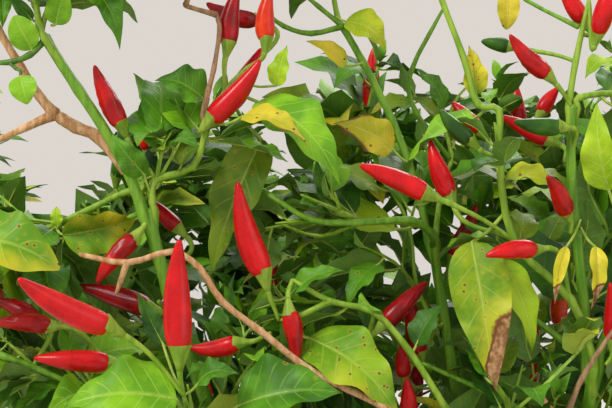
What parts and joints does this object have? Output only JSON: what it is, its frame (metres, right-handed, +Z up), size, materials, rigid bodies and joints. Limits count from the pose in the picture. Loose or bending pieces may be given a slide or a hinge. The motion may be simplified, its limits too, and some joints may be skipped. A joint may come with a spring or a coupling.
{
  "type": "chilli pepper plant",
  "caption": "Bushy chilli pepper plant with a forked green stem, pointed leaves and small upright red fruits, rooted in the ground at the flat cut under its stem.",
  "frame": {"origin": "middle of the flat cut under the main stem, at ground level", "axes": "+Z up along the main stem, -Y towards the side first seen, +X to the right from there"},
  "size_m": [0.4601, 0.3982, 0.5283],
  "materials": {
    "bark": "dull grey-brown skin with fine cracks",
    "green_stem": "smooth satin green skin with fine ridges",
    "dry_twig": "dry matt tan wood",
    "foliage": "satin leaves, glossy red fruits on green stalks",
    "leaf": "satin leaf, some yellow or brown",
    "fruit": "glossy waxy red skin",
    "fruit_stalk": "satin green stalk and calyx"
  },
  "bodies": {
    "root": {"trunk": "bark", "bough-left-low": "green_stem", "bough-left-mid": "green_stem", "bough-left-leader": "green_stem", "bough-left-side": "green_stem", "bough-front": "green_stem", "bough-right-low": "green_stem", "bough-front-right": "green_stem", "bough-middle": "green_stem", "bough-middle-leader": "green_stem", "bough-right-mid": "green_stem", "bough-right-leader": "green_stem", "bough-right-side": "green_stem", "bough-back-low": "green_stem", "bough-back-left": "green_stem", "bough-back-right": "green_stem", "bough-back": "green_stem", "foliage-left-leader": "foliage", "foliage-left-tip": "foliage", "foliage-centre-top": "foliage", "foliage-left-mid": "foliage", "foliage-front": "foliage", "foliage-low-left": "foliage", "foliage-centre-low": "foliage", "dry-twig-front": "dry_twig", "foliage-right-low": "foliage", "foliage-right-mid": "foliage", "foliage-right-top": "foliage", "foliage-right-outer": "foliage", "foliage-middle": "foliage", "foliage-middle-back": "foliage", "foliage-middle-top": "foliage", "foliage-left-side": "foliage", "foliage-left-back": "foliage", "foliage-right-side": "foliage", "foliage-right-back": "foliage", "foliage-back-left-low": "foliage", "foliage-back-left": "foliage", "foliage-back-right-low": "foliage", "foliage-back-right": "foliage", "foliage-back": "foliage", "foliage-crown": "foliage", "foliage-inner": "foliage", "foliage-skirt-front": "foliage", "foliage-skirt-right": "foliage", "foliage-skirt-back": "foliage", "foliage-skirt-left": "foliage", "foliage-skirt-front-left": "foliage", "foliage-skirt-front-right": "foliage", "foliage-skirt-back-left": "foliage", "foliage-skirt-back-right": "foliage"}
  },
  "joints": []
}
